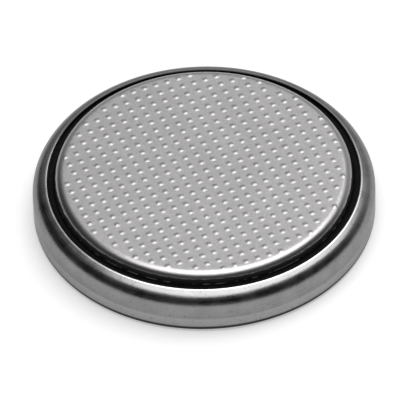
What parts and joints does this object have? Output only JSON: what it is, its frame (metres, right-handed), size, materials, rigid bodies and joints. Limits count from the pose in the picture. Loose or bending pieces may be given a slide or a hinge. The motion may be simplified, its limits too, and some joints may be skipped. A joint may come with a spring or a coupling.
{
  "type": "lithium coin cell",
  "caption": "Flat round coin cell: a crimped steel can, an insulating gasket ring and a raised steel cap over a sealed stack of disc electrodes.",
  "frame": {"origin": "centre of the flat floor of the can, the positive face, on which the cell lies", "axes": "+Z along the cell's axis, out of the negative cap; the cell is round, so X and Y are free"},
  "size_m": [0.02, 0.02, 0.0032],
  "materials": {
    "can_steel": "satin nickel-plated steel, faintly streaked by drawing",
    "cap_steel": "fine matt nickel-plated steel, embossed with small raised dots",
    "gasket_plastic": "smooth black moulded polypropylene",
    "lithium": "soft silvery rolled metal, slightly dull",
    "separator_fleece": "white non-woven polypropylene",
    "cathode_mix": "pressed black powder, matt",
    "grid_steel": "bright expanded stainless steel"
  },
  "bodies": {
    "root": {"cathode_can": "can_steel", "anode_cap": "cap_steel", "gasket": "gasket_plastic", "lithium_anode": "lithium", "separator": "separator_fleece", "cathode_pellet": "cathode_mix", "cathode_grid": "grid_steel"}
  },
  "joints": []
}
